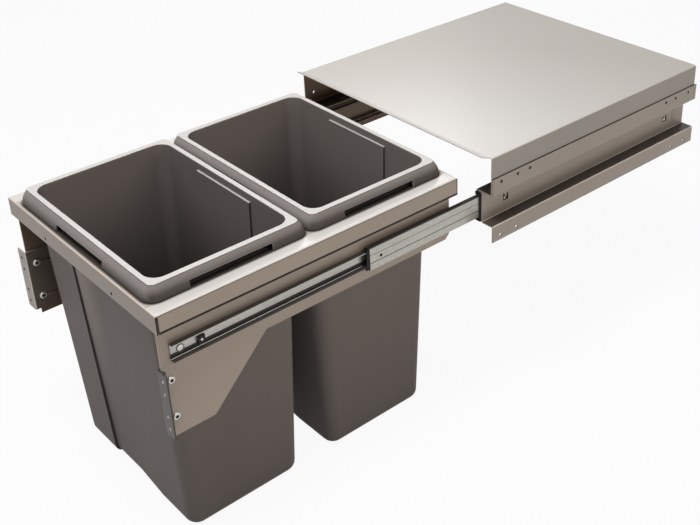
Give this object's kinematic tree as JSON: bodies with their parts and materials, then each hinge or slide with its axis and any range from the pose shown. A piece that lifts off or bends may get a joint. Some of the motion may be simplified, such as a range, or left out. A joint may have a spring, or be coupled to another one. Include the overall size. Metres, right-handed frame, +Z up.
{
  "type": "pull out bin frame",
  "caption": "Pull out waste bin frame: lidded side rails, full extension ball slides and a steel carriage with lift out bins and adjustable door brackets.",
  "frame": {"origin": "middle of the bounding box at its bottom, the plane of the bin floors, with the carriage pulled out", "axes": "+X across the cabinet to the right as seen from its front, +Y along the slides to the back of the cabinet, +Z up"},
  "size_m": [0.412, 0.9484, 0.3968],
  "materials": {
    "lid_paint": "pale warm grey metallic powder coat, satin",
    "rail_paint": "taupe metallic powder coat, satin",
    "carriage_paint": "taupe metallic powder coat, satin",
    "bracket_paint": "dark taupe metallic powder coat",
    "cage_steel": "bare steel strip",
    "ball_steel": "polished steel",
    "slide_zinc": "zinc plated, cold rolled",
    "fastener_zinc": "bright zinc plated",
    "stop_rubber": "soft black rubber",
    "black_plastic": "moulded black plastic",
    "bin_plastic": "dark warm grey moulded plastic, finely grained"
  },
  "bodies": {
    "cabinet_frame": {"lid": "lid_paint", "left_rail": "rail_paint", "right_rail": "rail_paint", "left_outer_slide": "slide_zinc", "right_outer_slide": "slide_zinc", "left_front_guide": "black_plastic", "right_front_guide": "black_plastic", "left_rear_stop": "stop_rubber", "right_rear_stop": "stop_rubber"},
    "carriage": {"carriage_frame": "carriage_paint", "left_side_plate": "carriage_paint", "right_side_plate": "carriage_paint", "left_inner_slide": "slide_zinc", "right_inner_slide": "slide_zinc", "left_slide_rivets": "fastener_zinc", "right_slide_rivets": "fastener_zinc", "left_catch": "black_plastic", "right_catch": "black_plastic", "left_clamp_screws": "fastener_zinc", "right_clamp_screws": "fastener_zinc", "left_clamp_nuts": "fastener_zinc", "right_clamp_nuts": "fastener_zinc", "front_bin": "bin_plastic", "rear_bin": "bin_plastic"},
    "left_middle": {"left_middle_slide": "slide_zinc", "left_middle_bumper": "black_plastic"},
    "left_outer_ball_cage": {"left_outer_cage": "cage_steel", "left_outer_balls": "ball_steel"},
    "left_inner_ball_cage": {"left_inner_cage": "cage_steel", "left_inner_balls": "ball_steel"},
    "left_bracket": {"left_door_bracket": "bracket_paint"},
    "right_middle": {"right_middle_slide": "slide_zinc", "right_middle_bumper": "black_plastic"},
    "right_outer_ball_cage": {"right_outer_cage": "cage_steel", "right_outer_balls": "ball_steel"},
    "right_inner_ball_cage": {"right_inner_cage": "cage_steel", "right_inner_balls": "ball_steel"},
    "right_bracket": {"right_door_bracket": "bracket_paint"}
  },
  "joints": [
    {"name": "carriage_slide", "type": "slide", "parent": "cabinet_frame", "child": "carriage", "axis": [0, 1, 0], "range_m": [0, 0.47]},
    {"name": "left_middle_slide", "type": "slide", "parent": "cabinet_frame", "child": "left_middle", "axis": [0, 1, 0], "range_m": [0, 0.235]},
    {"name": "left_outer_ball_cage_slide", "type": "slide", "parent": "cabinet_frame", "child": "left_outer_ball_cage", "axis": [0, 1, 0], "range_m": [0, 0.1175]},
    {"name": "left_inner_ball_cage_slide", "type": "slide", "parent": "cabinet_frame", "child": "left_inner_ball_cage", "axis": [0, 1, 0], "range_m": [0, 0.3525]},
    {"name": "left_bracket_adjust", "type": "slide", "parent": "carriage", "child": "left_bracket", "axis": [0, -1, 0], "range_m": [0, 0.018]},
    {"name": "right_middle_slide", "type": "slide", "parent": "cabinet_frame", "child": "right_middle", "axis": [0, 1, 0], "range_m": [0, 0.235]},
    {"name": "right_outer_ball_cage_slide", "type": "slide", "parent": "cabinet_frame", "child": "right_outer_ball_cage", "axis": [0, 1, 0], "range_m": [0, 0.1175]},
    {"name": "right_inner_ball_cage_slide", "type": "slide", "parent": "cabinet_frame", "child": "right_inner_ball_cage", "axis": [0, 1, 0], "range_m": [0, 0.3525]},
    {"name": "right_bracket_adjust", "type": "slide", "parent": "carriage", "child": "right_bracket", "axis": [0, -1, 0], "range_m": [0, 0.018]}
  ],
  "couplings": [
    {"joint": "left_middle_slide", "follows": "carriage_slide", "ratio": 0.5},
    {"joint": "left_outer_ball_cage_slide", "follows": "carriage_slide", "ratio": 0.25},
    {"joint": "left_inner_ball_cage_slide", "follows": "carriage_slide", "ratio": 0.75},
    {"joint": "right_middle_slide", "follows": "carriage_slide", "ratio": 0.5},
    {"joint": "right_outer_ball_cage_slide", "follows": "carriage_slide", "ratio": 0.25},
    {"joint": "right_inner_ball_cage_slide", "follows": "carriage_slide", "ratio": 0.75}
  ]
}
